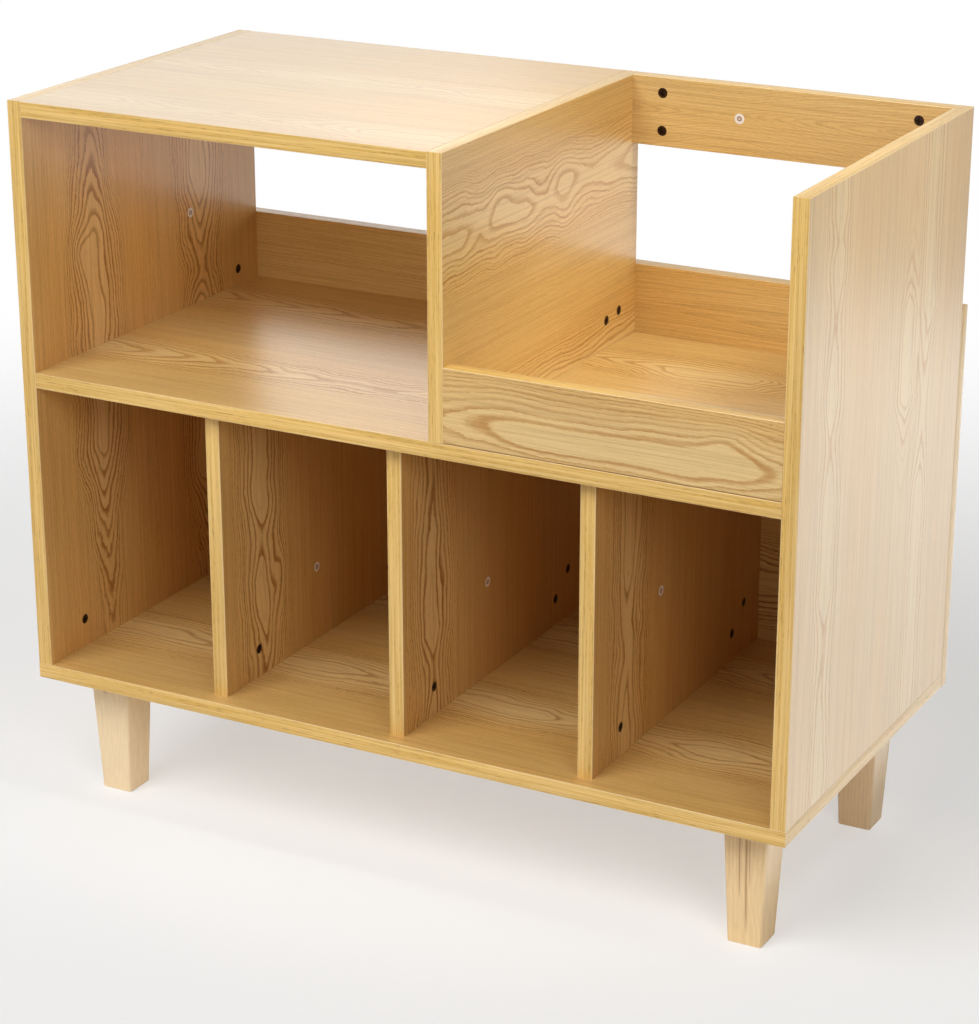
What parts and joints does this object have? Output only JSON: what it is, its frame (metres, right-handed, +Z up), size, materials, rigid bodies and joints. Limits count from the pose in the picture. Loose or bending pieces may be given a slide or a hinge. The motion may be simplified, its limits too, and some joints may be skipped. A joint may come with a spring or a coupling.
{
  "type": "record storage stand",
  "caption": "Free-standing wood-grain record stand on tapered legs, with upright record slots below an open cubby and an open-topped record bin.",
  "frame": {"origin": "centre of the footprint's box, on the floor", "axes": "+X along the width to the right, +Y from the open front to the back panel, +Z up"},
  "size_m": [0.95, 0.488, 0.845],
  "materials": {
    "board_laminate": "satin wood-grain laminate with cathedral figure",
    "edge_strip": "satin straight-grain edge strip",
    "leg_timber": "clear-lacquered softwood",
    "cam_metal": "dark brown-black cast metal",
    "zinc_steel": "zinc plated",
    "dowel_wood": "bare beech",
    "label_paper": "matt white paper with a printed ring"
  },
  "bodies": {
    "root": {"left_side_panel": "board_laminate", "right_side_panel": "board_laminate", "base_panel": "board_laminate", "middle_shelf": "board_laminate", "top_panel": "board_laminate", "centre_divider": "board_laminate", "slot_divider_1": "board_laminate", "slot_divider_2": "board_laminate", "slot_divider_3": "board_laminate", "back_panel": "board_laminate", "upper_back_rail": "board_laminate", "front_lip": "board_laminate", "left_side_edging": "edge_strip", "right_side_edging": "edge_strip", "base_edging": "edge_strip", "middle_shelf_edging": "edge_strip", "top_edging": "edge_strip", "centre_divider_edging": "edge_strip", "slot_divider_1_edging": "edge_strip", "slot_divider_2_edging": "edge_strip", "slot_divider_3_edging": "edge_strip", "back_edging": "edge_strip", "upper_back_rail_edging": "edge_strip", "front_lip_edging": "edge_strip", "front_left_leg": "leg_timber", "front_right_leg": "leg_timber", "rear_left_leg": "leg_timber", "rear_right_leg": "leg_timber", "leg_inserts": "zinc_steel", "leg_hanger_bolts": "zinc_steel", "cams": "cam_metal", "cam_bolts": "zinc_steel", "dowels": "dowel_wood", "part_labels": "label_paper"}
  },
  "joints": []
}
